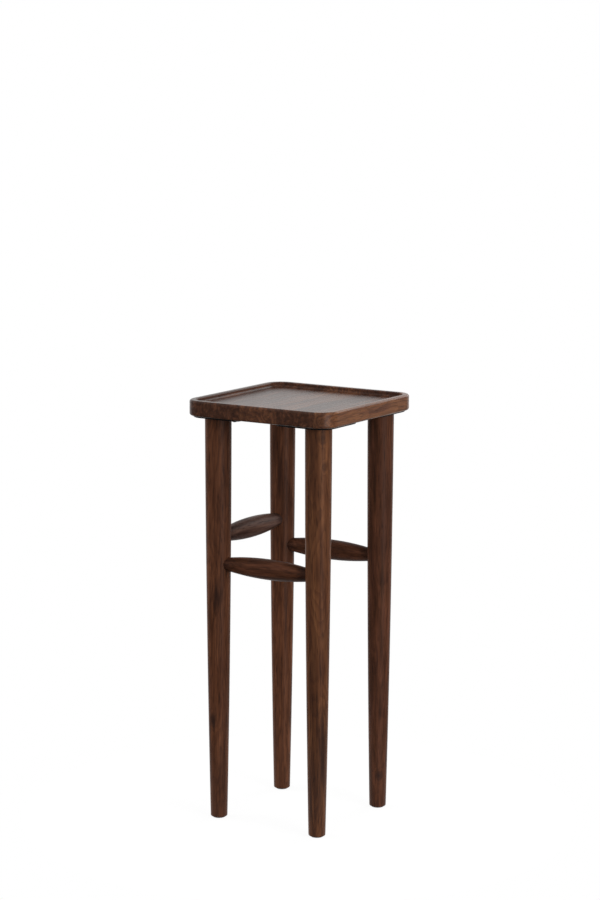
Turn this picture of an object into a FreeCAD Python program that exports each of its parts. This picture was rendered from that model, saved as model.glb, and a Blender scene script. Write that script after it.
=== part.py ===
import FreeCAD
import Part
import math
import os

# A square wooden plinth: a lipped tray top on four turned legs, tied together by three spindle
# stretchers. The fourth side, to the right, is left open. Each leg screws into a steel plate
# under the tray. Millimetres, +Z up, origin on the floor under the middle, front towards -Y.

# Overall
stand_height = 760.0

# Tray top, routed from one glued-up board
tray_side = 300.0
tray_thickness = 28.0
tray_corner_radius = 35.0
tray_edge_round = 4.0
rim_width = 12.0
rim_inner_round = 2.5
recess_depth = 8.5
recess_cove = 4.0

# Turned legs: a taper from top to foot that swells a little at half its length
leg_setback = 46.0
leg_top_diameter = 47.0
leg_foot_diameter = 30.0
leg_swell = 1.6
leg_bands = 4
leg_foot_chamfer = 2.0

# Spindle stretchers, glued into the legs by round tenons at two staggered heights
side_stretcher_height = 514.0
cross_stretcher_height = 466.5
spindle_diameter = 36.5
spindle_bands = 8
tenon_diameter = 24.0
tenon_depth = 16.0
tenon_clearance = 0.15
mortise_end_gap = 0.5

# Steel corner plates between the legs and the tray
plate_thickness = 3.0
plate_inset = 7.0
plate_pad_side = 66.0
plate_arm_length = 106.0
plate_arm_width = 38.0
plate_arm_end_radius = 12.0
plate_pad_radius = 10.0
plate_inner_radius = 8.0

# Pan-head screws that hold each plate up to the tray
screw_head_diameter = 11.0
screw_head_height = 4.0
screw_shank_diameter = 5.0
screw_length = 15.0
screw_plate_clearance = 0.25
screw_pilot_clearance = 0.1
screw_pilot_end_gap = 0.5

# Hanger bolts: a wood thread in the leg below, a machine thread in the plate's nut above
bolt_diameter = 8.0
bolt_wood_length = 45.0
bolt_stand_out = 1.0
bolt_wood_clearance = 0.1
bolt_plate_clearance = 0.5
bolt_pilot_end_gap = 1.0

# Hexagon nuts welded on the plates, each let into a round socket in the tray
nut_across_flats = 13.0
nut_height = 6.5
nut_thread_clearance = 0.1
nut_socket_clearance = 1.0
nut_socket_end_gap = 1.0

# Nail-on glides under the feet
glide_diameter = 22.0
glide_thickness = 2.0
nail_diameter = 3.0
nail_length = 14.0
nail_clearance = 0.1
nail_pilot_end_gap = 0.5

# Heights and places that follow from the sizes above
tray_bottom = stand_height - tray_thickness
recess_floor = stand_height - recess_depth
plate_bottom = tray_bottom - plate_thickness
leg_top = plate_bottom
leg_bottom = glide_thickness
leg_offset = tray_side / 2 - leg_setback
recess_half = tray_side / 2 - rim_width
plate_edge = tray_side / 2 - plate_inset
nut_radius = nut_across_flats / 2 / math.cos(math.pi / 6)
nut_top = tray_bottom + nut_height
bolt_top = nut_top + bolt_stand_out
tenon_radius = tenon_diameter / 2

# The legs' corners, each a quarter turn on from the last
leg_corners = ("back_right", "back_left", "front_left", "front_right")

# Each stretcher's height and the two legs that it joins
stretchers = {
    "stretcher_left": (side_stretcher_height, "front_left", "back_left"),
    "stretcher_front": (cross_stretcher_height, "front_left", "front_right"),
    "stretcher_back": (cross_stretcher_height, "back_left", "back_right"),
}

origin = FreeCAD.Vector(0, 0, 0)
upwards = FreeCAD.Vector(0, 0, 1)

# How far a cut runs on past the face that it opens
past = 1.0


def rounded_outline(corners):
    """Closed wire through (x, y, radius) corners, each rounded by an arc tangent to its sides."""
    points = [FreeCAD.Vector(x, y, 0) for x, y, radius in corners]
    arcs = []
    for index, (x, y, radius) in enumerate(corners):
        corner = points[index]
        to_last = (points[index - 1] - corner).normalize()
        to_next = (points[(index + 1) % len(points)] - corner).normalize()
        half_angle = to_last.getAngle(to_next) / 2
        reach = radius / math.tan(half_angle)
        inwards = (to_last + to_next).normalize()
        middle = corner + inwards * (radius / math.sin(half_angle) - radius)
        arcs.append((corner + to_last * reach, middle, corner + to_next * reach))
    edges = []
    for index, (start, middle, end) in enumerate(arcs):
        next_start = arcs[(index + 1) % len(arcs)][0]
        edges.append(Part.Arc(start, middle, end).toShape())
        edges.append(Part.LineSegment(end, next_start).toShape())
    return Part.Wire(edges)


def square_outline(half_side, corner_radius):
    """Rounded square about the origin."""
    signs = ((1, 1), (-1, 1), (-1, -1), (1, -1))
    return rounded_outline([(x * half_side, y * half_side, corner_radius) for x, y in signs])


def slab(outline, bottom, top):
    """Upright solid on an outline, between two heights."""
    face = Part.Face(outline)
    face.translate(upwards * bottom)
    return face.extrude(upwards * (top - bottom))


def level_edges(shape, height):
    """Edges that lie wholly at one height."""
    tolerance = 0.001
    boxes = [(edge, edge.BoundBox) for edge in shape.Edges]
    return [edge for edge, box in boxes
            if abs(box.ZMin - height) < tolerance and abs(box.ZMax - height) < tolerance]


def arc(*points):
    """Round stretch of a half profile through three (radius, height) points."""
    start, middle, end = [FreeCAD.Vector(radius, 0, height) for radius, height in points]
    return Part.Arc(start, middle, end).toShape()


def lines(*points):
    """Straight stretches of a half profile from one (radius, height) point to the next."""
    places = [FreeCAD.Vector(radius, 0, height) for radius, height in points]
    return [Part.LineSegment(start, end).toShape() for start, end in zip(places, places[1:])]


def lathe(profile):
    """Solid turned about Z from the stretches of a closed half profile."""
    return Part.Face(Part.Wire(profile)).revolve(origin, upwards, 360)


def upright(radius, bottom, top, x=0.0, y=0.0):
    """Upright cylinder between two heights."""
    return Part.makeCylinder(radius, top - bottom, FreeCAD.Vector(x, y, bottom))


def corner_angle(corner):
    """Degrees that carry the back right corner round to another one."""
    return 90 * leg_corners.index(corner)


def at_corner(shape, corner):
    """Copy of a shape made at the back right corner, turned round to another one."""
    turned = shape.copy()
    turned.rotate(origin, upwards, corner_angle(corner))
    return turned


def leg_place(corner):
    """A leg's axis on the floor."""
    turn = FreeCAD.Rotation(upwards, corner_angle(corner))
    return turn.multVec(FreeCAD.Vector(leg_offset, leg_offset, 0))


def leg_radius(height):
    """A leg's radius at a height, on a shallow curve from its foot to its top."""
    share = (height - leg_bottom) / (leg_top - leg_bottom)
    taper = leg_foot_diameter / 2 + (leg_top_diameter - leg_foot_diameter) / 2 * share
    return taper + leg_swell * 4 * share * (1 - share)


def screw_places():
    """The two screws of the back right plate, each in the rounded end of an arm."""
    arm_line = plate_edge - plate_arm_width / 2
    arm_end = plate_edge - plate_arm_length + plate_arm_width / 2
    return [(arm_end, arm_line), (arm_line, arm_end)]


def make_tray_top():
    """Board with softened edges, a coved recess inside its rim, and sockets in its underside."""
    board = slab(square_outline(tray_side / 2, tray_corner_radius), tray_bottom, stand_height)
    outer_edges = level_edges(board, tray_bottom) + level_edges(board, stand_height)
    board = board.makeFillet(tray_edge_round, outer_edges)
    recess_outline = square_outline(recess_half, tray_corner_radius - rim_width)
    recess = slab(recess_outline, recess_floor, stand_height + past)
    recess = recess.makeFillet(recess_cove, level_edges(recess, recess_floor))
    board = board.cut(recess)
    inside = recess_half + past
    lip_edges = [edge for edge in level_edges(board, stand_height)
                 if edge.BoundBox.XMax < inside and edge.BoundBox.XMin > -inside
                 and edge.BoundBox.YMax < inside and edge.BoundBox.YMin > -inside]
    board = board.makeFillet(rim_inner_round, lip_edges)

    socket_radius = nut_radius + nut_socket_clearance
    socket_top = bolt_top + nut_socket_end_gap
    pilot_radius = screw_shank_diameter / 2 + screw_pilot_clearance
    pilot_top = plate_bottom + screw_length + screw_pilot_end_gap
    sockets = [upright(socket_radius, tray_bottom - past, socket_top, leg_offset, leg_offset)]
    for x, y in screw_places():
        sockets.append(upright(pilot_radius, tray_bottom - past, pilot_top, x, y))
    return board.cut([at_corner(socket, corner) for corner in leg_corners for socket in sockets])


def make_leg(corner):
    """Turned leg with a pilot hole in each end and a mortise for every stretcher that it holds."""
    foot_edge = leg_bottom + leg_foot_chamfer
    foot_radius = leg_radius(foot_edge) - leg_foot_chamfer
    band = (leg_top - foot_edge) / leg_bands
    heights = [foot_edge + band * count for count in range(leg_bands + 1)]
    side = [(leg_radius(height), height) for height in heights]
    leg = lathe(lines((0, leg_bottom), (foot_radius, leg_bottom), *side, (0, leg_top), (0, leg_bottom)))
    bolt_bottom = leg_top - bolt_wood_length
    nail_top = leg_bottom + nail_length
    bores = [
        upright(bolt_diameter / 2 + bolt_wood_clearance, bolt_bottom - bolt_pilot_end_gap, leg_top + past),
        upright(nail_diameter / 2 + nail_clearance, leg_bottom - past, nail_top + nail_pilot_end_gap),
    ]
    place = leg_place(corner)
    for height, one_end, other_end in stretchers.values():
        if corner in (one_end, other_end):
            far_leg = other_end if corner == one_end else one_end
            way = (leg_place(far_leg) - place).normalize()
            bottom = leg_radius(height) - tenon_depth - mortise_end_gap
            length = leg_radius(height) + past - bottom
            start = way * bottom + upwards * height
            bores.append(Part.makeCylinder(tenon_radius + tenon_clearance, length, start, way))
    leg = leg.cut(bores)
    leg.translate(place)
    return leg


def make_stretcher(height, one_end, other_end):
    """Cigar-shaped spindle from leg to leg, with a round tenon at both ends."""
    start = leg_place(one_end)
    end = leg_place(other_end)
    shoulder = start.distanceToPoint(end) / 2 - leg_radius(height)
    tip = shoulder + tenon_depth
    swell = arc((tenon_radius, -shoulder), (spindle_diameter / 2, 0), (tenon_radius, shoulder))
    turn = (swell.LastParameter - swell.FirstParameter) / spindle_bands
    cuts = [swell.FirstParameter + turn * band for band in range(spindle_bands + 1)]
    bands = [swell.Curve.toShape(low, high) for low, high in zip(cuts, cuts[1:])]
    low_tenon = lines((0, -tip), (tenon_radius, -tip), (tenon_radius, -shoulder))
    high_tenon = lines((tenon_radius, shoulder), (tenon_radius, tip), (0, tip), (0, -tip))
    spindle = lathe(low_tenon + bands + high_tenon)
    middle = (start + end) / 2 + upwards * height
    spindle.Placement = FreeCAD.Placement(middle, FreeCAD.Rotation(upwards, end - start))
    return spindle


def make_leg_plate():
    """Flat corner plate: a pad over the leg and an arm along each side of the tray."""
    arm_inner = plate_edge - plate_arm_width
    arm_end = plate_edge - plate_arm_length
    pad_inner = plate_edge - plate_pad_side
    outline = rounded_outline([
        (plate_edge, plate_edge, tray_corner_radius - plate_inset),
        (arm_end, plate_edge, plate_arm_end_radius),
        (arm_end, arm_inner, plate_arm_end_radius),
        (pad_inner, arm_inner, plate_inner_radius),
        (pad_inner, pad_inner, plate_pad_radius),
        (arm_inner, pad_inner, plate_inner_radius),
        (arm_inner, arm_end, plate_arm_end_radius),
        (plate_edge, arm_end, plate_arm_end_radius),
    ])
    bolt_hole = bolt_diameter / 2 + bolt_plate_clearance
    screw_hole = screw_shank_diameter / 2 + screw_plate_clearance
    holes = [upright(bolt_hole, plate_bottom - past, tray_bottom + past, leg_offset, leg_offset)]
    for x, y in screw_places():
        holes.append(upright(screw_hole, plate_bottom - past, tray_bottom + past, x, y))
    return slab(outline, plate_bottom, tray_bottom).cut(holes)


def make_plate_screws():
    """One plate's two pan-head screws, driven up through it into the tray."""
    head = screw_head_diameter / 2
    shank = screw_shank_diameter / 2
    crown = plate_bottom - screw_head_height
    tip = plate_bottom + screw_length
    screw = lathe(lines(
        (0, crown),
        (head, crown),
        (head, plate_bottom),
        (shank, plate_bottom),
        (shank, tip),
        (0, tip),
        (0, crown),
    ))
    screws = []
    for x, y in screw_places():
        copy = screw.copy()
        copy.translate(FreeCAD.Vector(x, y, 0))
        screws.append(copy)
    return Part.makeCompound(screws)


def make_hanger_bolt():
    """Headless bolt from the leg's end grain up through the plate and its nut."""
    return upright(bolt_diameter / 2, leg_top - bolt_wood_length, bolt_top, leg_offset, leg_offset)


def make_plate_nut():
    """Hexagon nut standing on the plate."""
    corners = [FreeCAD.Vector(nut_radius, 0, 0)]
    for turn in range(60, 361, 60):
        corners.append(FreeCAD.Rotation(upwards, turn).multVec(corners[0]))
    thread = upright(bolt_diameter / 2 + nut_thread_clearance, tray_bottom - past, nut_top + past)
    nut = slab(Part.makePolygon(corners), tray_bottom, nut_top).cut(thread)
    nut.translate(leg_place("back_right"))
    return nut


def make_foot_glide():
    """Flat round glide, held by its nail in the end of the leg."""
    radius = glide_diameter / 2
    nail = nail_diameter / 2
    nail_top = leg_bottom + nail_length
    glide = lathe(lines(
        (0, 0),
        (radius, 0),
        (radius, leg_bottom),
        (nail, leg_bottom),
        (nail, nail_top),
        (0, nail_top),
        (0, 0),
    ))
    glide.translate(leg_place("back_right"))
    return glide


def export(shape, node):
    """Write one piece under its own name."""
    shape.exportStep("parts/" + node + ".step")


os.makedirs("parts", exist_ok=True)
export(make_tray_top(), "tray_top")
for name, (height, one_end, other_end) in stretchers.items():
    export(make_stretcher(height, one_end, other_end), name)
corner_pieces = {
    "leg_plate": make_leg_plate(),
    "plate_screws": make_plate_screws(),
    "plate_nut": make_plate_nut(),
    "hanger_bolt": make_hanger_bolt(),
    "foot_glide": make_foot_glide(),
}
for corner in leg_corners:
    export(make_leg(corner), "leg_" + corner)
    for name, piece in corner_pieces.items():
        export(at_corner(piece, corner), name + "_" + corner)
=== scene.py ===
import math

import bmesh
import bpy
from mathutils import Euler, Matrix, Vector


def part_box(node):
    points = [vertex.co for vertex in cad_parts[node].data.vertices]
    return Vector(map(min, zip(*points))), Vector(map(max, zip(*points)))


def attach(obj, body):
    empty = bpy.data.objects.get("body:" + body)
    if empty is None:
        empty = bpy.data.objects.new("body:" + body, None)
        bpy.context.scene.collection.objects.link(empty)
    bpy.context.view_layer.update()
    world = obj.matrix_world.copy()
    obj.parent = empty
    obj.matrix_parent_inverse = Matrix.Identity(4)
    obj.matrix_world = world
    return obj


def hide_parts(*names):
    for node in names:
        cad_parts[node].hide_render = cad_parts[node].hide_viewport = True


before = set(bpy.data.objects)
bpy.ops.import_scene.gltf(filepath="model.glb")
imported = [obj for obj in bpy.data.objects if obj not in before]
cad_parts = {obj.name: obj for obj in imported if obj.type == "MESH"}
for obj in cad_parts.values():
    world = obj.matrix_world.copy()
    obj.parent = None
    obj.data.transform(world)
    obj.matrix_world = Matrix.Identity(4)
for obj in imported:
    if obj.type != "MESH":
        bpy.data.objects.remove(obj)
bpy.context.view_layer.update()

# The legs: four plumb hardwood legs, turned on a lathe to a taper that swells a little, stained dark and
# rubbed with satin lacquer. Each is mortised on the sides that take a stretcher, and bored for the hanger
# bolt in its top and for the nail of the glide under its foot.
mm = 0.001
stretcher_legs = {
    "stretcher_left": ("front_left", "back_left"),
    "stretcher_front": ("front_left", "front_right"),
    "stretcher_back": ("back_left", "back_right"),
}
leg_foot_radius = 15 * mm
leg_swell = 1.6 * mm
leg_foot_round = 2 * mm
leg_top_round = 0.6 * mm
leg_rings = 28
round_steps = 4
turned_sides = 96
tenon_radius = 12 * mm
mortise_clearance = 0.15 * mm
mortise_end_gap = 0.5 * mm
# How a stretcher, turned upright, is laid down: from left to right, or from front to back
laid_across = (0, math.pi / 2, 0)
laid_back = (math.pi / 2, 0, 0)
bore_sides = 32
drill_run_in = 1 * mm
bolt_clearance = 0.1 * mm
bolt_end_gap = 1 * mm
nail_radius = 1.5 * mm
nail_clearance = 0.1 * mm
nail_end_gap = 0.5 * mm
smooth_angle = math.radians(35)


def linear(hex_colour):
    """Linear RGBA of an sRGB colour written as hex."""
    channels = [int(hex_colour[place:place + 2], 16) / 255 for place in (1, 3, 5)]
    return [c / 12.92 if c <= 0.04045 else ((c + 0.055) / 1.055) ** 2.4 for c in channels] + [1]


def add_node(tree, kind, inputs=None, stops=None, **settings):
    """One shader node. Each input is a value or the socket that feeds it; stops are a ramp's colours."""
    node = tree.nodes.new("ShaderNode" + kind)
    for name, value in settings.items():
        setattr(node, name, value)
    for name, value in (inputs or {}).items():
        if isinstance(value, bpy.types.NodeSocket):
            tree.links.new(value, node.inputs[name])
        else:
            node.inputs[name].default_value = value
    if stops:
        ramp = node.color_ramp
        while len(ramp.elements) < len(stops):
            ramp.elements.new(1)
        for element, (position, colour) in zip(ramp.elements, stops):
            element.position = position
            element.color = linear(colour)
    return node


# Dark stained hardwood: a red-brown ground with darker bands, rings that sweep into arches where the taper
# cuts them, and open pores that hold the stain as dark dashes. The thin satin lacquer sinks into the pores,
# so it shines most at a low angle.
ring_spacing_mm = 7
ring_sweep_mm = 80
ring_curl_mm = 9
# Each figure of the wood, with its width across the grain, its length along it and its octaves of detail.
# Real pores are about 0.2 mm wide; they are drawn wider so that they show.
wood_figures = {
    "sweep": (55, 220, 2),
    "curl": (8, 95, 3),
    "band": (22, 260, 3),
    "streak": (2.6, 130, 3),
    "pore": (1.6, 24, 1),
}
# The ground runs through three colours, which differ from one piece of timber to the next.
ground_places = (0.3, 0.5, 0.7)
red_brown = ("#53311f", "#6d432d", "#82533a")
dark_brown = ("#44291a", "#5e3927", "#724734")
orange_brown = ("#603b26", "#71472e", "#805437")
grey_brown = ("#47352d", "#604840", "#77594b")
band_colour = "#41271d"
late_wood_colour = "#37211a"
streak_colour = "#301d17"
pore_colour = "#271712"
knot_and_shade_colour = "#2a1c19"
# A dark figure begins at the lower end of its range and has its full share of the colour at the upper end.
band_range = (0.47, 0.64)
band_share = 0.5
late_wood_range = (0.35, 1)
streak_range = (0.45, 0.72)
streak_share = 0.46
pore_range = (0.54, 0.72)
pore_share = 0.6
# The rings stand out more where the wood is cut across the grain.
ring_share_along = 0.36
ring_share_across = 0.6
end_grain_range = (0.55, 0.95)
# A wave texture of scale 1 has one ring in this distance.
wave_period = 2 * math.pi / 20
pore_depth = 0.12 * mm
pore_bump = 0.12
knot_ring_turns = 14
knot_unevenness = 0.9
knot_heart_start = 0.2
knot_and_shade_darkness = 0.85
turned_lacquer_roughness = (0.34, 0.48)
leg_lacquer_specular = 0.1


def stained_wood(name, grain_turn, pith, ground_colours, lacquer, knots_and_painted_shade=(), staves=None):
    """Wood whose grain is turned on to Z, with the middle of its tree through the pith point."""
    material = bpy.data.materials.new(name)
    material.use_nodes = True
    tree = material.node_tree
    shader = tree.nodes["Principled BSDF"]
    lacquer_specular, lacquer_roughness = lacquer
    shader.inputs["Specular IOR Level"].default_value = lacquer_specular
    turn = Euler(grain_turn)
    half_wander = Vector((1, 1, 1)) * (ring_sweep_mm + ring_curl_mm) / 2
    here = add_node(tree, "TexCoord")
    trunk = add_node(
        tree,
        "Mapping",
        {
            "Vector": here.outputs["Object"],
            "Location": -(turn.to_matrix() @ Vector(pith)) / mm - half_wander,
            "Rotation": turn,
            "Scale": (1 / mm, 1 / mm, 1 / mm),
        },
    )
    trunk_place = trunk.outputs["Vector"]
    if staves:
        stave_width, stave_start, stave_shift_mm, stave_tone_range = staves
        across = add_node(tree, "SeparateXYZ", {"Vector": here.outputs["Object"]})
        stave = add_node(
            tree,
            "Math",
            {0: across.outputs["X"], 1: 1 / stave_width, 2: -stave_start / stave_width},
            operation="MULTIPLY_ADD",
        )
        number = add_node(tree, "Math", {0: stave.outputs["Value"]}, operation="FLOOR")
        chance = add_node(tree, "TexWhiteNoise", {"W": number.outputs["Value"]}, noise_dimensions="1D")
        trunk_place = add_node(
            tree,
            "VectorMath",
            {0: chance.outputs["Color"], 1: stave_shift_mm, 2: trunk_place},
            operation="MULTIPLY_ADD",
        ).outputs["Vector"]
    figure = {}
    for what, (width_mm, length_mm, detail) in wood_figures.items():
        size = add_node(
            tree,
            "Mapping",
            {"Vector": trunk_place, "Scale": (1 / width_mm, 1 / width_mm, 1 / length_mm)},
        )
        figure[what] = add_node(
            tree, "TexNoise", {"Vector": size.outputs["Vector"], "Scale": 1, "Detail": detail}
        )
    swept = add_node(
        tree,
        "VectorMath",
        {0: figure["sweep"].outputs["Color"], 1: (ring_sweep_mm,) * 3, 2: trunk_place},
        operation="MULTIPLY_ADD",
    )
    curled = add_node(
        tree,
        "VectorMath",
        {0: figure["curl"].outputs["Color"], 1: (ring_curl_mm,) * 3, 2: swept.outputs["Vector"]},
        operation="MULTIPLY_ADD",
    )
    rings = add_node(
        tree,
        "TexWave",
        {"Vector": curled.outputs["Vector"], "Scale": wave_period / ring_spacing_mm},
        wave_type="RINGS",
        rings_direction="Z",
        wave_profile="SAW",
    )
    # The spots are knots and dark streaks in the wood, and patches of painted shade: at the spindles'
    # joints and low on one leg.
    nearest_knot_and_shade = None
    for knot_place, knot_radius, knot_half_length, knot_strength in knots_and_painted_shade:
        knot_size = Vector((1 / knot_radius, 1 / knot_radius, 1 / knot_half_length))
        knot = add_node(
            tree,
            "Mapping",
            {
                "Vector": here.outputs["Object"],
                "Location": -Vector(knot_place) * knot_size,
                "Scale": knot_size,
            },
        )
        reach = add_node(tree, "VectorMath", {0: knot.outputs["Vector"]}, operation="LENGTH")
        uneven = add_node(
            tree,
            "Math",
            {0: figure["curl"].outputs["Fac"], 1: knot_unevenness, 2: reach.outputs["Value"]},
            operation="MULTIPLY_ADD",
        )
        near = add_node(
            tree,
            "MapRange",
            {
                "Value": uneven.outputs["Value"],
                "From Min": knot_unevenness / 2,
                "From Max": 1 + knot_unevenness / 2,
                "To Min": knot_strength,
                "To Max": 0,
            },
            interpolation_type="SMOOTHSTEP",
        ).outputs["Result"]
        if nearest_knot_and_shade:
            near = add_node(tree, "Math", {0: nearest_knot_and_shade, 1: near}, operation="MAXIMUM").outputs["Value"]
        nearest_knot_and_shade = near
    grain_axis = turn.to_matrix().transposed() @ Vector((0, 0, 1))
    facing = add_node(
        tree, "VectorMath", {0: here.outputs["Normal"], 1: grain_axis}, operation="DOT_PRODUCT"
    )
    cut_across = add_node(tree, "Math", {0: facing.outputs["Value"]}, operation="ABSOLUTE")
    ring_share = add_node(
        tree,
        "MapRange",
        {
            "Value": cut_across.outputs["Value"],
            "From Min": end_grain_range[0],
            "From Max": end_grain_range[1],
            "To Min": ring_share_along,
            "To Max": ring_share_across,
        },
    )
    ground_stops = list(zip(ground_places, ground_colours))
    tone = figure["curl"].outputs["Fac"]
    if staves:
        stave_tone = add_node(
            tree,
            "MapRange",
            {
                "Value": chance.outputs["Value"],
                "To Min": -stave_tone_range / 2,
                "To Max": stave_tone_range / 2,
            },
        )
        tone = add_node(tree, "Math", {0: tone, 1: stave_tone.outputs["Result"]}).outputs["Value"]
    ground = add_node(tree, "ValToRGB", {"Fac": tone}, stops=ground_stops)
    dark_figures = [
        ("band", figure["band"], band_range, band_share, band_colour),
        ("ring", rings, late_wood_range, ring_share.outputs["Result"], late_wood_colour),
        ("streak", figure["streak"], streak_range, streak_share, streak_colour),
        ("pore", figure["pore"], pore_range, pore_share, pore_colour),
    ]
    # A colour Mix takes its share at socket 0 and its two colours at 6 and 7, and gives the mix at 2.
    colour = ground.outputs["Color"]
    share = {}
    for what, texture, (start, full), most, tint in dark_figures:
        share[what] = add_node(
            tree,
            "MapRange",
            {"Value": texture.outputs["Fac"], "From Min": start, "From Max": full, "To Max": most},
        ).outputs["Result"]
        colour = add_node(
            tree, "Mix", {0: share[what], 6: colour, 7: linear(tint)}, data_type="RGBA"
        ).outputs[2]
    # Near a spot the wood darkens to the knot colour: a knot's dark heart, and at the spindles' joints
    # painted shade.
    if nearest_knot_and_shade:
        swirl = add_node(tree, "Math", {0: nearest_knot_and_shade, 1: knot_ring_turns}, operation="MULTIPLY")
        tree.links.new(swirl.outputs["Value"], rings.inputs["Phase Offset"])
        heart = add_node(
            tree,
            "MapRange",
            {"Value": nearest_knot_and_shade, "From Min": knot_heart_start, "To Max": knot_and_shade_darkness},
        )
        colour = add_node(
            tree, "Mix", {0: heart.outputs["Result"], 6: colour, 7: linear(knot_and_shade_colour)}, data_type="RGBA"
        ).outputs[2]
    gloss = add_node(
        tree,
        "MapRange",
        {
            "Value": figure["streak"].outputs["Fac"],
            "To Min": lacquer_roughness[0],
            "To Max": lacquer_roughness[1],
        },
    )
    bump = add_node(
        tree,
        "Bump",
        {"Height": share["pore"], "Strength": pore_bump, "Distance": pore_depth},
        invert=True,
    )
    tree.links.new(colour, shader.inputs["Base Color"])
    tree.links.new(gloss.outputs["Result"], shader.inputs["Roughness"])
    tree.links.new(bump.outputs["Normal"], shader.inputs["Normal"])
    return material


def turn_piece(name, profile):
    """A turned piece about Z: a disc, extruded and scaled from ring to ring of (radius, height) pairs."""
    bpy.ops.object.select_all(action="DESELECT")
    radius, height = profile[0]
    bpy.ops.mesh.primitive_circle_add(
        vertices=turned_sides, radius=radius, fill_type="NGON", location=(0, 0, height)
    )
    piece = bpy.context.object
    piece.name = name
    bpy.ops.object.mode_set(mode="EDIT")
    for next_radius, next_height in profile[1:]:
        bpy.ops.mesh.extrude_region_move(TRANSFORM_OT_translate={"value": (0, 0, next_height - height)})
        share = next_radius / radius
        bpy.ops.transform.resize(value=(share, share, 1), center_override=(0, 0, next_height))
        radius, height = next_radius, next_height
    bpy.ops.mesh.select_all(action="SELECT")
    bpy.ops.mesh.normals_make_consistent(inside=False)
    bpy.ops.object.mode_set(mode="OBJECT")
    bpy.ops.object.transform_apply(location=True, rotation=True, scale=True)
    return piece


def copy_piece(piece, name, place, turn=(0, 0, 0)):
    """A copy with its own mesh, turned and moved to its place, which goes into the mesh."""
    copy = piece.copy()
    copy.data = piece.data.copy()
    copy.name = name
    bpy.context.scene.collection.objects.link(copy)
    copy.data.transform(Matrix.Translation(place) @ Euler(turn).to_matrix().to_4x4())
    return copy


def cut_out(piece, tool):
    """Cuts the tool's shape out of a piece and takes the tool away."""
    modifier = piece.modifiers.new("cut", "BOOLEAN")
    modifier.object = tool
    bpy.context.view_layer.objects.active = piece
    bpy.ops.object.modifier_apply(modifier=modifier.name)
    bpy.data.objects.remove(tool)


def bore(piece, radius, x, y, bottom, top):
    """Drills a round upright hole in a piece."""
    bpy.ops.object.select_all(action="DESELECT")
    bpy.ops.mesh.primitive_cylinder_add(
        vertices=bore_sides, radius=radius, depth=top - bottom, location=(x, y, (bottom + top) / 2)
    )
    cut_out(piece, bpy.context.object)


def finish_piece(piece, material, slot, *nodes):
    """Smooth shading, the finish, and the CAD nodes that the piece stands for."""
    bpy.ops.object.select_all(action="DESELECT")
    piece.select_set(True)
    bpy.context.view_layer.objects.active = piece
    bpy.ops.object.shade_smooth_by_angle(angle=smooth_angle)
    piece.data.materials.clear()
    piece.data.materials.append(material)
    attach(piece, "root")
    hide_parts(*nodes)


def middle_of(node):
    """The middle of a CAD node's box."""
    low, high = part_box(node)
    return (low + high) / 2


def span_of(stretcher):
    """Whether a stretcher runs from left to right, and its length with its tenons."""
    low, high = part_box(stretcher)
    size = high - low
    return size.x > size.y, max(size.x, size.y)


leg_low, leg_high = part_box("leg_front_left")
leg_bottom, leg_top = leg_low.z, leg_high.z
leg_top_radius = (leg_high.x - leg_low.x) / 2


def leg_radius(height):
    """A leg's radius at a height: a straight taper with a swell, which is full at half height."""
    share = (height - leg_bottom) / (leg_top - leg_bottom)
    taper = leg_foot_radius + (leg_top_radius - leg_foot_radius) * share
    swell_share = 4 * share * (1 - share)
    return taper + leg_swell * swell_share


leg_profile = []
for step in range(round_steps + 1):
    angle = math.pi / 2 * step / round_steps
    inset = leg_foot_round * (1 - math.sin(angle))
    leg_profile.append((leg_foot_radius - inset, leg_bottom + leg_foot_round * (1 - math.cos(angle))))
for ring in range(1, leg_rings):
    height = leg_bottom + leg_foot_round + (leg_top - leg_bottom - leg_foot_round) * ring / leg_rings
    leg_profile.append((leg_radius(height), height))
leg_profile.append((leg_top_radius, leg_top - leg_top_round))
leg_profile.append((leg_top_radius - leg_top_round, leg_top))
turned_leg = turn_piece("turned_leg", leg_profile)

# Each leg comes from another part of the tree: how its grain leans in degrees, where its pith runs beside
# it in mm, and its knots and dark streaks, with painted shade on one leg, each with its side in degrees,
# its height, radius and half length in mm, and its strength.
leg_wood = {
    "front_left": {
        "ground": red_brown,
        "lean": (1.1, -0.8),
        "pith": (52, 38, 0),
        "knots_and_painted_shade": [(-92, 182, 13, 28, 1), (-60, 412, 15, 58, 1)],
    },
    "front_right": {
        "ground": orange_brown,
        "lean": (-1.3, 0.9),
        "pith": (-40, 44, 0),
        "knots_and_painted_shade": [
            (-42, 712, 16, 22, 0.8),
            (-34, 662, 11, 20, 0.7),
            # These two long streaks low on the leg are dark streaks in its wood, and also painted shade
            # that darkens the leg towards the floor.
            (-20, 150, 18, 220, 1),
            (-60, 110, 30, 230, 0.62),
        ],
    },
    "back_right": {
        "ground": dark_brown,
        "lean": (0.8, 1.2),
        "pith": (36, -58, 0),
        "knots_and_painted_shade": [(-52, 62, 15, 20, 1), (-85, 640, 8, 110, 0.5), (-70, 250, 8, 130, 0.6)],
    },
    "back_left": {
        "ground": red_brown,
        "lean": (-0.9, -1.2),
        "pith": (-62, -30, 0),
        "knots_and_painted_shade": [(-70, 600, 9, 90, 0.7), (-40, 380, 7, 110, 0.7)],
    },
}
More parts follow.
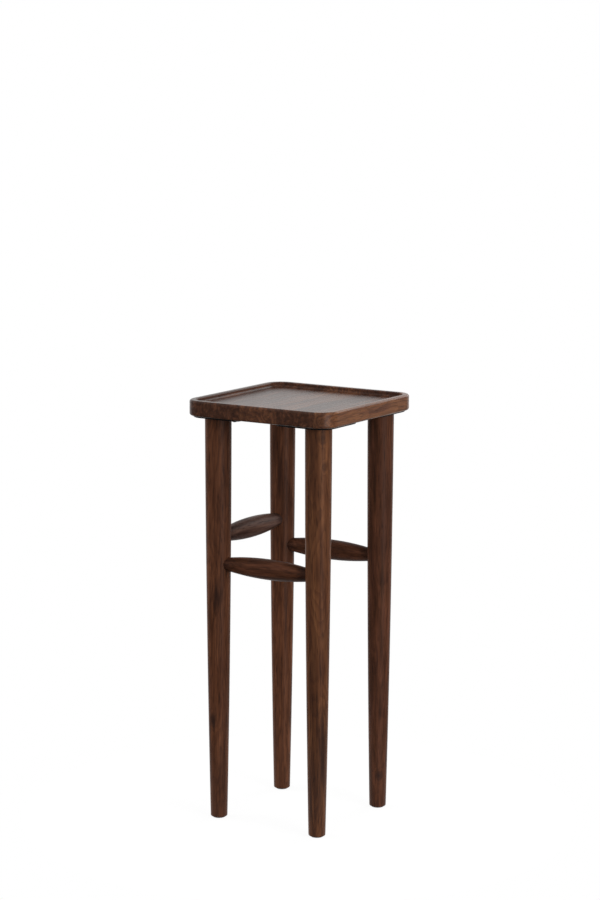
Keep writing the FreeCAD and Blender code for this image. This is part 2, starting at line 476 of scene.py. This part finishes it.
for corner, wood in leg_wood.items():
    node = "leg_" + corner
    axis = middle_of(node)
    leg = copy_piece(turned_leg, "turned_leg_" + corner, Vector((axis.x, axis.y, 0)))
    for stretcher, legs in stretcher_legs.items():
        if corner in legs:
            runs_across, length = span_of(stretcher)
            bpy.ops.object.select_all(action="DESELECT")
            bpy.ops.mesh.primitive_cylinder_add(
                vertices=turned_sides,
                radius=tenon_radius + mortise_clearance,
                depth=length + 2 * mortise_end_gap,
                location=middle_of(stretcher),
                rotation=laid_across if runs_across else laid_back,
            )
            cut_out(leg, bpy.context.object)
    bolt_low, bolt_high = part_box("hanger_bolt_" + corner)
    bolt_bore = (bolt_high.x - bolt_low.x) / 2 + bolt_clearance
    bore(leg, bolt_bore, axis.x, axis.y, bolt_low.z - bolt_end_gap, leg_top + drill_run_in)
    nail_bore = nail_radius + nail_clearance
    nail_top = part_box("foot_glide_" + corner)[1].z
    bore(leg, nail_bore, axis.x, axis.y, leg_bottom - drill_run_in, nail_top + nail_end_gap)
    knots_and_painted_shade = []
    for side, height, radius, half_length, strength in wood["knots_and_painted_shade"]:
        around = math.radians(side)
        outwards = Vector((math.cos(around), math.sin(around), 0))
        on_axis = Vector((axis.x, axis.y, height * mm))
        on_surface = on_axis + outwards * leg_radius(height * mm)
        knots_and_painted_shade.append((on_surface, radius * mm, half_length * mm, strength))
    lean_x, lean_y = (math.radians(angle) for angle in wood["lean"])
    material = stained_wood(
        "stained_wood_leg_" + corner,
        (lean_x, lean_y, 0),
        axis + Vector(wood["pith"]) * mm,
        wood["ground"],
        (leg_lacquer_specular, turned_lacquer_roughness),
        knots_and_painted_shade,
    )
    finish_piece(leg, material, "stained_wood", node)
bpy.data.objects.remove(turned_leg)

# The foot glides: a moulded nylon disc under each leg, nailed into its end grain.
# Only a thin dark line shows between the leg and the floor.
# Each corner of the stand, and its side of the middle in X and Y
corners = {"front_left": (-1, -1), "front_right": (1, -1), "back_right": (1, 1), "back_left": (-1, 1)}
glide_round = 0.6 * mm
# The middle of a quarter round lies this share of its radius inside both faces.
arc_middle = 0.3
nail_point = 2 * mm
nail_tip_radius = 0.3 * mm
glide_low, glide_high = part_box("foot_glide_front_left")
glide_radius = (glide_high.x - glide_low.x) / 2
glide_profile = [
    (glide_radius - glide_round, 0),
    (glide_radius - glide_round * arc_middle, glide_round * arc_middle),
    (glide_radius, glide_round),
    (glide_radius, leg_bottom),
    (nail_radius, leg_bottom),
    (nail_radius, glide_high.z - nail_point),
    (nail_tip_radius, glide_high.z),
]
turned_glide = turn_piece("turned_glide", glide_profile)

# Moulded nylon: near black and matt, with faint clouds and the fine grain of the mould, which is drawn
# coarser so that it shows.
mould_grain_mm = 1.5
mould_grain_depth = 0.1 * mm
mould_grain_bump = 0.2
nylon_shades = [(0.35, "#231d1a"), (0.65, "#2e2622")]
nylon_roughness = 0.55
nylon = bpy.data.materials.new("moulded_nylon")
nylon.use_nodes = True
nylon_tree = nylon.node_tree
nylon_place = add_node(nylon_tree, "TexCoord")
nylon_cloud = add_node(
    nylon_tree,
    "TexNoise",
    {"Vector": nylon_place.outputs["Object"], "Scale": 1 / (mould_grain_mm * mm), "Detail": 3},
)
nylon_colour = add_node(nylon_tree, "ValToRGB", {"Fac": nylon_cloud.outputs["Fac"]}, stops=nylon_shades)
nylon_bump = add_node(
    nylon_tree,
    "Bump",
    {"Height": nylon_cloud.outputs["Fac"], "Strength": mould_grain_bump, "Distance": mould_grain_depth},
)
nylon_shader = nylon_tree.nodes["Principled BSDF"]
nylon_shader.inputs["Roughness"].default_value = nylon_roughness
nylon_tree.links.new(nylon_colour.outputs["Color"], nylon_shader.inputs["Base Color"])
nylon_tree.links.new(nylon_bump.outputs["Normal"], nylon_shader.inputs["Normal"])
for corner in corners:
    node = "foot_glide_" + corner
    axis = middle_of(node)
    glide = copy_piece(turned_glide, "moulded_glide_" + corner, Vector((axis.x, axis.y, 0)))
    finish_piece(glide, nylon, "dark_nylon", node)
bpy.data.objects.remove(turned_glide)

# The stretchers: three cigar-shaped spindles, turned from the same wood with a round tenon at both ends,
# glued into the legs: one high on the left, two lower ones at the front and the back.
tenon_depth = 16 * mm
tenon_end_round = 1 * mm
spindle_rings = 24
stretcher_low, stretcher_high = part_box("stretcher_front")
spindle_radius = (stretcher_high.z - stretcher_low.z) / 2
spindle_bulge = spindle_radius - tenon_radius


def spindle_profile(half_length):
    """Radius and height from tip to tip: straight tenons with an arc between their shoulders."""
    shoulder = half_length - tenon_depth
    curve = (shoulder ** 2 + spindle_bulge ** 2) / (2 * spindle_bulge)
    tip_radius = tenon_radius - tenon_end_round
    tip_start = half_length - tenon_end_round
    profile = [(tip_radius, -half_length), (tenon_radius, -tip_start)]
    for ring in range(spindle_rings + 1):
        height = shoulder * (2 * ring / spindle_rings - 1)
        profile.append((spindle_radius - curve + math.sqrt(curve ** 2 - height ** 2), height))
    return profile + [(tenon_radius, tip_start), (tip_radius, half_length)]


# The ends of each spindle are painted darker near the legs: painted shade where the spindle meets the leg.
joint_shade_reach = 30 * mm
spindle_lacquer_specular = 0.06
spindle_wood = {
    "stretcher_left": {"ground": grey_brown, "lean": (1.5, 0.8), "pith": (30, 0, -45)},
    "stretcher_front": {"ground": dark_brown, "lean": (-1.2, 1.4), "pith": (0, -38, 30)},
    "stretcher_back": {"ground": dark_brown, "lean": (1.0, -1.6), "pith": (0, 30, 36)},
}
for node, wood in spindle_wood.items():
    runs_across, length = span_of(node)
    half_length = length / 2
    blank = turn_piece("turned_spindle", spindle_profile(half_length))
    lean_one, lean_two = (math.radians(angle) for angle in wood["lean"])
    if runs_across:
        laid = laid_across
        along = Vector((1, 0, 0))
        grain_turn = (lean_one, lean_two - math.pi / 2, 0)
    else:
        laid = laid_back
        along = Vector((0, 1, 0))
        grain_turn = (lean_one + math.pi / 2, lean_two, 0)
    spindle = copy_piece(blank, "turned_" + node, middle_of(node), laid)
    bpy.data.objects.remove(blank)
    shoulder = along * (half_length - tenon_depth)
    # Painted shade at both ends of the spindle, where it meets the legs.
    painted_joint_shade = [(middle_of(node) + end * shoulder, joint_shade_reach, joint_shade_reach, 1) for end in (-1, 1)]
    material = stained_wood(
        "stained_wood_" + node,
        grain_turn,
        middle_of(node) + Vector(wood["pith"]) * mm,
        wood["ground"],
        (spindle_lacquer_specular, turned_lacquer_roughness),
        painted_joint_shade,
    )
    finish_piece(spindle, material, "stained_wood", node)

# The hanger bolts and the nuts on the plates: hidden fixings of zinc-plated steel, which screw each leg
# up against its plate. They keep their CAD solids.

# Zinc plating: pale grey metal with a satin shine, clouded by fine crystals, which are drawn coarser so
# that they show.
plating_grain_mm = 0.8
plating_shades = [(0.3, "#a9abad"), (0.7, "#c4c5c3")]
plating_roughness = (0.22, 0.42)
plated_steel = bpy.data.materials.new("zinc_plated_steel")
plated_steel.use_nodes = True
plated_tree = plated_steel.node_tree
plated_place = add_node(plated_tree, "TexCoord")
plated_cloud = add_node(
    plated_tree,
    "TexNoise",
    {"Vector": plated_place.outputs["Object"], "Scale": 1 / (plating_grain_mm * mm), "Detail": 2},
)
plated_colour = add_node(
    plated_tree, "ValToRGB", {"Fac": plated_cloud.outputs["Fac"]}, stops=plating_shades
)
plated_gloss = add_node(
    plated_tree,
    "MapRange",
    {
        "Value": plated_cloud.outputs["Fac"],
        "To Min": plating_roughness[0],
        "To Max": plating_roughness[1],
    },
)
plated_shader = plated_tree.nodes["Principled BSDF"]
plated_shader.inputs["Metallic"].default_value = 1
plated_tree.links.new(plated_colour.outputs["Color"], plated_shader.inputs["Base Color"])
plated_tree.links.new(plated_gloss.outputs["Result"], plated_shader.inputs["Roughness"])
for fixing in ("hanger_bolt_", "plate_nut_"):
    for corner in corners:
        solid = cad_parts[fixing + corner]
        solid.data.materials.clear()
        solid.data.materials.append(plated_steel)

# The leg plates: corner plates blanked from 3 mm steel and powder-coated black, one over each leg, screwed
# to the tray from below. The press has rolled their lower edges over.
plate_edge_round = 1.4 * mm
plate_edge_segments = 4
merge_distance = 0.01 * mm
same_plane_angle = math.radians(1)
# A face is level where its normal is as near to plumb as this.
level = 0.9999
flat_tolerance = 0.01 * mm


def pick_edges(mesh, wanted):
    """Selects, in edit mode, only the edges that pass a test."""
    shape = bmesh.from_edit_mesh(mesh)
    for face in shape.faces:
        face.select_set(False)
    for edge in shape.edges:
        edge.select_set(wanted(edge))
    bmesh.update_edit_mesh(mesh)


def at_height(edge, height):
    """Whether both ends of an edge lie at one height."""
    return all(abs(vertex.co.z - height) < flat_tolerance for vertex in edge.verts)


def between_floor_and_wall(edge):
    """Whether an edge joins a level face to an upright one."""
    tilts = sorted(abs(face.normal.z) for face in edge.link_faces)
    return tilts[0] < 1 - level and tilts[1] > level


# Black powder coat: matt, with the slight orange peel of sprayed powder.
orange_peel_mm = 1.2
orange_peel_depth = 0.1 * mm
orange_peel_bump = 0.15
powder_shades = [(0.35, "#0c0d0f"), (0.7, "#151618")]
powder_roughness = 0.65
powder_specular = 0.1
black_steel = bpy.data.materials.new("black_powder_coated_steel")
black_steel.use_nodes = True
black_tree = black_steel.node_tree
black_place = add_node(black_tree, "TexCoord")
black_peel = add_node(
    black_tree,
    "TexNoise",
    {"Vector": black_place.outputs["Object"], "Scale": 1 / (orange_peel_mm * mm), "Detail": 2},
)
black_colour = add_node(black_tree, "ValToRGB", {"Fac": black_peel.outputs["Fac"]}, stops=powder_shades)
black_bump = add_node(
    black_tree,
    "Bump",
    {"Height": black_peel.outputs["Fac"], "Strength": orange_peel_bump, "Distance": orange_peel_depth},
)
black_shader = black_tree.nodes["Principled BSDF"]
black_shader.inputs["Roughness"].default_value = powder_roughness
black_shader.inputs["Specular IOR Level"].default_value = powder_specular
black_tree.links.new(black_colour.outputs["Color"], black_shader.inputs["Base Color"])
black_tree.links.new(black_bump.outputs["Normal"], black_shader.inputs["Normal"])
for corner in corners:
    node = "leg_plate_" + corner
    plate_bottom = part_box(node)[0].z
    plate = copy_piece(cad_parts[node], "pressed_leg_plate_" + corner, Vector())
    bpy.ops.object.select_all(action="DESELECT")
    plate.select_set(True)
    bpy.context.view_layer.objects.active = plate
    bpy.ops.object.mode_set(mode="EDIT")
    bpy.ops.mesh.select_mode(type="EDGE")
    bpy.ops.mesh.select_all(action="SELECT")
    bpy.ops.mesh.remove_doubles(threshold=merge_distance)
    bpy.ops.mesh.dissolve_limited(angle_limit=same_plane_angle)
    pick_edges(plate.data, lambda edge: at_height(edge, plate_bottom) and between_floor_and_wall(edge))
    bpy.ops.mesh.bevel(offset=plate_edge_round, segments=plate_edge_segments, affect="EDGES")
    bpy.ops.object.mode_set(mode="OBJECT")
    finish_piece(plate, black_steel, "black_steel", node)

# The plate screws: two black pan-head screws through each plate's arms, driven up into the tray.
# The domed head hangs below the plate and has a cross recess for the driver.
screw_low, screw_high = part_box("plate_screws_front_left")
screw_head_radius = 5.5 * mm
screw_head_height = 4 * mm
screw_shank_radius = 2.5 * mm
screw_point_radius = 0.25 * mm
recess_width = 1.2 * mm
recess_length = 5.5 * mm
recess_depth = 2 * mm
dome_rings = 7
# The dome starts from a small flat, this share of a ring's step wide.
dome_flat = 0.25
screw_profile = []
for ring in range(dome_rings):
    angle = math.pi / 2 * (ring + dome_flat) / (dome_rings - 1 + dome_flat)
    dome_height = screw_head_height * (1 - math.cos(angle))
    screw_profile.append((screw_head_radius * math.sin(angle), screw_low.z + dome_height))
screw_profile += [
    (screw_shank_radius, screw_low.z + screw_head_height),
    (screw_shank_radius, screw_high.z - screw_shank_radius),
    (screw_point_radius, screw_high.z),
]
turned_screw = turn_piece("turned_screw", screw_profile)
for slot_size in ((recess_width, recess_length), (recess_length, recess_width)):
    bpy.ops.object.select_all(action="DESELECT")
    bpy.ops.mesh.primitive_cube_add(size=1, location=(0, 0, screw_low.z))
    blade = bpy.context.object
    blade.scale = (*slot_size, 2 * recess_depth)
    bpy.ops.object.transform_apply(location=True, rotation=True, scale=True)
    cut_out(turned_screw, blade)
screw_places = []
for corner, (side_x, side_y) in corners.items():
    node = "plate_screws_" + corner
    low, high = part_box(node)
    near_x, far_x = sorted((low.x, high.x), key=abs)
    near_y, far_y = sorted((low.y, high.y), key=abs)
    near = Vector((near_x + side_x * screw_head_radius, near_y + side_y * screw_head_radius, 0))
    far = Vector((far_x - side_x * screw_head_radius, far_y - side_y * screw_head_radius, 0))
    screw_places += [(near.x, far.y), (far.x, near.y)]
    one = copy_piece(turned_screw, "pan_head_screws_" + corner, Vector((near.x, far.y, 0)))
    two = copy_piece(turned_screw, "second_screw", Vector((far.x, near.y, 0)))
    bpy.ops.object.select_all(action="DESELECT")
    one.select_set(True)
    two.select_set(True)
    bpy.context.view_layer.objects.active = one
    bpy.ops.object.join()
    finish_piece(one, black_steel, "black_steel", node)
bpy.data.objects.remove(turned_screw)

# The tray top: one board of the same wood, glued up from staves that run from front to back, with rounded
# corners. Its floor is routed out inside a raised rim, the rim's edges are softened and a cove meets the
# floor. Sockets in its underside take the nuts and the screws.
tray_low, tray_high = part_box("tray_top")
tray_side = tray_high.x - tray_low.x
tray_thickness = tray_high.z - tray_low.z
tray_corner_radius = 35 * mm
tray_edge_round = 4 * mm
rim_width = 12 * mm
rim_inner_round = 2.5 * mm
tray_recess_depth = 8.5 * mm
recess_cove = 4 * mm
corner_segments = 20
edge_segments = 6
socket_clearance = 1 * mm
socket_end_gap = 1 * mm
pilot_clearance = 0.1 * mm
pilot_end_gap = 0.5 * mm
# The width of a stave, and where one seam lies to the left or right of the middle
stave_width = 75 * mm
stave_start = -28.5 * mm
# How far apart in the tree the staves were sawn, at most
stave_shift_mm = (160, 90, 900)
stave_tone_range = 0.35
tray_pith_mm = (20, 0, -50)
tray_lacquer_specular = 0.2
tray_lacquer_roughness = (0.22, 0.34)
tray_ground = ("#4a2e20", "#6e4632", "#82563a")

bpy.ops.object.select_all(action="DESELECT")
bpy.ops.mesh.primitive_plane_add(size=tray_side)
tray = bpy.context.object
tray.name = "routed_tray_top"
tray.location.z = tray_low.z
bpy.ops.object.transform_apply(location=True, rotation=True, scale=True)
bpy.ops.object.mode_set(mode="EDIT")
bpy.ops.mesh.bevel(offset=tray_corner_radius, segments=corner_segments, affect="VERTICES")
bpy.ops.mesh.select_all(action="SELECT")
bpy.ops.mesh.extrude_region_move(TRANSFORM_OT_translate={"value": (0, 0, tray_thickness)})
bpy.ops.mesh.select_all(action="SELECT")
bpy.ops.mesh.normals_make_consistent(inside=False)
bpy.ops.mesh.select_mode(type="EDGE")
pick_edges(tray.data, lambda edge: at_height(edge, tray_low.z) or at_height(edge, tray_high.z))
bpy.ops.mesh.bevel(offset=tray_edge_round, segments=edge_segments, affect="EDGES")
bpy.ops.mesh.select_mode(type="FACE")
board = bmesh.from_edit_mesh(tray.data)
for face in board.faces:
    face.select_set(face.normal.z > level)
bmesh.update_edit_mesh(tray.data)
bpy.ops.mesh.inset(thickness=rim_width - tray_edge_round)
bpy.ops.mesh.extrude_region_move(TRANSFORM_OT_translate={"value": (0, 0, -tray_recess_depth)})
bpy.ops.mesh.select_mode(type="EDGE")
tray_floor = tray_high.z - tray_recess_depth
pick_edges(tray.data, lambda edge: at_height(edge, tray_floor) and between_floor_and_wall(edge))
bpy.ops.mesh.bevel(offset=recess_cove, segments=edge_segments, affect="EDGES")
pick_edges(tray.data, lambda edge: at_height(edge, tray_high.z) and between_floor_and_wall(edge))
bpy.ops.mesh.bevel(offset=rim_inner_round, segments=edge_segments, affect="EDGES")
bpy.ops.object.mode_set(mode="OBJECT")
for corner in corners:
    axis = middle_of("hanger_bolt_" + corner)
    bolt_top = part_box("hanger_bolt_" + corner)[1].z
    nut_low, nut_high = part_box("plate_nut_" + corner)
    nut_radius = max(nut_high.x - nut_low.x, nut_high.y - nut_low.y) / 2
    socket_radius = nut_radius + socket_clearance
    bore(tray, socket_radius, axis.x, axis.y, tray_low.z - drill_run_in, bolt_top + socket_end_gap)
pilot_radius = screw_shank_radius + pilot_clearance
for x, y in screw_places:
    bore(tray, pilot_radius, x, y, tray_low.z - drill_run_in, screw_high.z + pilot_end_gap)
tray_wood = stained_wood(
    "stained_wood_tray",
    (math.pi / 2, 0, 0),
    middle_of("tray_top") + Vector(tray_pith_mm) * mm,
    tray_ground,
    (tray_lacquer_specular, tray_lacquer_roughness),
    staves=(stave_width, stave_start, stave_shift_mm, stave_tone_range),
)
finish_piece(tray, tray_wood, "stained_wood", "tray_top")
flat_faces = tray.modifiers.new("flat_faces", "WEIGHTED_NORMAL")
flat_faces.keep_sharp = True
bpy.ops.object.modifier_apply(modifier=flat_faces.name)

# The floor and the light: a plain white floor and a white backdrop, under soft studio lamps at the right,
# at the left and behind, and a low one at the front right.
floor_radius = 0.5
floor_gap = 0.2 * mm
floor_grey = "#808080"
# To the eye the floor is half matt, so that it takes the stand's shadow, and half white, at a strength that
# makes up for that.
floor_white_share = 0.5
floor_white_strength = 1.84
white = "#ffffff"
view_azimuth = math.radians(32.51)
bpy.ops.object.select_all(action="DESELECT")
bpy.ops.mesh.primitive_circle_add(
    vertices=turned_sides, radius=floor_radius, fill_type="NGON", location=(0, 0, -floor_gap)
)
floor = bpy.context.object
floor.name = "floor"
floor_paint = bpy.data.materials.new("white_floor")
floor_paint.use_nodes = True
floor_tree = floor_paint.node_tree
floor_tree.nodes.clear()
floor_ray = add_node(floor_tree, "LightPath")
floor_seen = add_node(
    floor_tree,
    "Math",
    {0: floor_ray.outputs["Is Camera Ray"], 1: floor_ray.outputs["Is Glossy Ray"]},
    operation="MAXIMUM",
)
floor_shown = add_node(
    floor_tree,
    "Math",
    {0: floor_seen.outputs["Value"], 1: floor_ray.outputs["Is Transmission Ray"]},
    operation="MAXIMUM",
)
floor_share = add_node(
    floor_tree, "Math", {0: floor_shown.outputs["Value"], 1: floor_white_share}, operation="MULTIPLY"
)
floor_matt = add_node(floor_tree, "BsdfDiffuse", {"Color": linear(floor_grey)})
floor_white = add_node(
    floor_tree, "Emission", {"Color": linear(white), "Strength": floor_white_strength}
)
floor_mix = add_node(
    floor_tree,
    "MixShader",
    {0: floor_share.outputs["Value"], 1: floor_matt.outputs["BSDF"], 2: floor_white.outputs["Emission"]},
)
add_node(floor_tree, "OutputMaterial", {"Surface": floor_mix.outputs["Shader"]})
floor.data.materials.append(floor_paint)

# The camera sees white all round, and glossy rays see it on the backdrop's side. The room's own light is
# brighter in front of the stand than behind it, and low below the horizon.
room_in_front = 0.6
room_behind = 0.4
room_below = 0.15
horizon_range = (-0.2, 0.1)
backdrop_edge = 0.3
backdrop_full = 0.85
world = bpy.data.worlds.new("studio")
bpy.context.scene.world = world
world.use_nodes = True
room = world.node_tree
room.nodes.clear()
room_ray = add_node(room, "LightPath")
room_way = add_node(room, "TexCoord")
backwards = Vector((-math.sin(view_azimuth), math.cos(view_azimuth), 0))
room_side = add_node(
    room, "VectorMath", {0: room_way.outputs["Generated"], 1: backwards}, operation="DOT_PRODUCT"
)
backdrop = add_node(
    room,
    "MapRange",
    {"Value": room_side.outputs["Value"], "From Min": backdrop_edge, "From Max": backdrop_full},
    interpolation_type="SMOOTHSTEP",
)
mirrored = add_node(
    room,
    "Math",
    {0: backdrop.outputs["Result"], 1: room_ray.outputs["Is Glossy Ray"]},
    operation="MULTIPLY",
)
through = add_node(
    room,
    "Math",
    {0: room_ray.outputs["Is Camera Ray"], 1: room_ray.outputs["Is Transmission Ray"]},
    operation="MAXIMUM",
)
shown = add_node(
    room, "Math", {0: mirrored.outputs["Value"], 1: through.outputs["Value"]}, operation="MAXIMUM"
)
room_level = add_node(
    room,
    "MapRange",
    {"Value": backdrop.outputs["Result"], "To Min": room_in_front, "To Max": room_behind},
)
room_height = add_node(room, "SeparateXYZ", {"Vector": room_way.outputs["Generated"]})
above = add_node(
    room,
    "MapRange",
    {
        "Value": room_height.outputs["Z"],
        "From Min": horizon_range[0],
        "From Max": horizon_range[1],
        "To Min": room_below,
        "To Max": 1,
    },
)
room_lit = add_node(
    room, "Math", {0: room_level.outputs["Result"], 1: above.outputs["Result"]}, operation="MULTIPLY"
)
room_strength = add_node(
    room, "Math", {0: room_lit.outputs["Value"], 1: shown.outputs["Value"]}, operation="MAXIMUM"
)
room_light = add_node(
    room, "Background", {"Color": linear(white), "Strength": room_strength.outputs["Value"]}
)
add_node(room, "OutputWorld", {"Surface": room_light.outputs["Background"]})

# Each lamp has its place, its width and its height in metres, and its power in watts. All of them face the
# middle of the stand.
softboxes = {
    "right_softbox": ((2.6, -0.5, 1.05), 1.3, 1.3, 38),
    "left_softbox": ((-2.4, -1.0, 0.9), 1.3, 1.3, 23),
    "low_softbox": ((2.4, -1.0, 0.12), 1.3, 1.05, 11),
    "back_softbox": ((0.6, 2.4, 1.7), 1.5, 1.5, 16),
}
stand_middle = Vector((0, 0, 0.5))
lamps = {}
for name, (place, width, height, power) in softboxes.items():
    bpy.ops.object.light_add(type="AREA", location=place)
    lamp = bpy.context.object
    lamp.name = name
    lamp.rotation_euler = (stand_middle - Vector(place)).to_track_quat("-Z", "Y").to_euler()
    lamp.data.shape = "RECTANGLE"
    lamp.data.size = width
    lamp.data.size_y = height
    lamp.data.energy = power
    lamps[name] = lamp
# The side lamps light the wood, and only the low lamp and the back one show in its lacquer. The low lamp
# stands below the tray's floor, so that floor doesn't mirror it.
lamps["right_softbox"].visible_glossy = False
lamps["left_softbox"].visible_glossy = False
lamps["low_softbox"].visible_diffuse = False

# The camera: a long lens some way off and above the tray, turned on the stand's front and right sides and
# looking down a little, as in the photograph.
camera_distance = 4.4218
camera_height = 1.4008
camera_pitch = math.radians(9.46)
camera_roll = math.radians(0.18)
camera_lens = 101.24
camera_sensor = 36
bpy.ops.object.camera_add()
camera = bpy.context.object
camera.data.sensor_width = camera_sensor
camera.data.lens = camera_lens
camera_place = Vector(
    (math.sin(view_azimuth) * camera_distance, -math.cos(view_azimuth) * camera_distance, camera_height)
)
camera.matrix_world = (
    Matrix.Translation(camera_place)
    @ Matrix.Rotation(view_azimuth, 4, "Z")
    @ Matrix.Rotation(math.pi / 2 - camera_pitch, 4, "X")
    @ Matrix.Rotation(camera_roll, 4, "Z")
)
bpy.context.scene.camera = camera
bpy.context.scene.view_settings.view_transform = "Standard"
